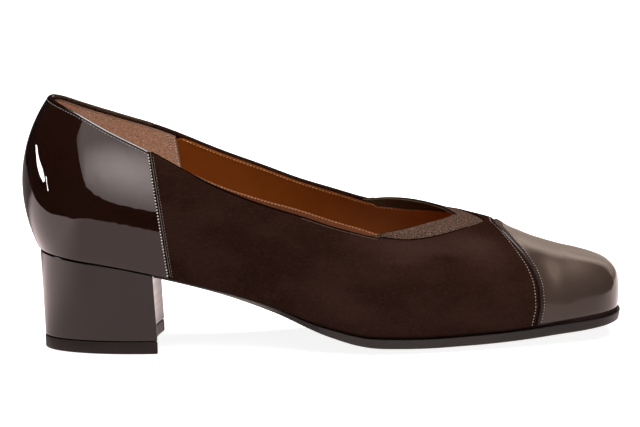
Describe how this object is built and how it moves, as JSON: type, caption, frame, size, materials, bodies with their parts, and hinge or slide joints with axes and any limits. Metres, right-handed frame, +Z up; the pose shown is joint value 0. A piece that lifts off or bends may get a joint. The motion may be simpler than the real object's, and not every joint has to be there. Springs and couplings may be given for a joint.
{
  "type": "court pump",
  "caption": "Slip-on court pump for the right foot, with a low block heel, patent counter and toe cap, suede vamp and quarters, and an elastic inset round the throat.",
  "frame": {"origin": "middle of the shoe's footprint box, on the floor that it stands on", "axes": "+X from heel to toe, +Y towards the inner side of the foot, +Z up"},
  "size_m": [0.2474, 0.0782, 0.1048],
  "materials": {
    "sole_unit": "dark grey-brown, moulded, semi-matt",
    "heel_cover": "smooth dark brown covering, satin",
    "lift": "near-black brown, matt",
    "suede": "dark brown suede with a short nap",
    "patent_toe": "taupe patent with a soft pearl gloss",
    "patent_counter": "near-black brown patent, mirror gloss",
    "elastic": "brown ribbed elastic, matt",
    "lining": "orange-tan smooth leather, satin"
  },
  "bodies": {
    "root": {"outsole": "sole_unit", "heel_block": "heel_cover", "top_lift": "lift", "upper": "suede", "toe_cap": "patent_toe", "counter": "patent_counter", "elastic_gore": "elastic", "insole": "lining"}
  },
  "joints": []
}
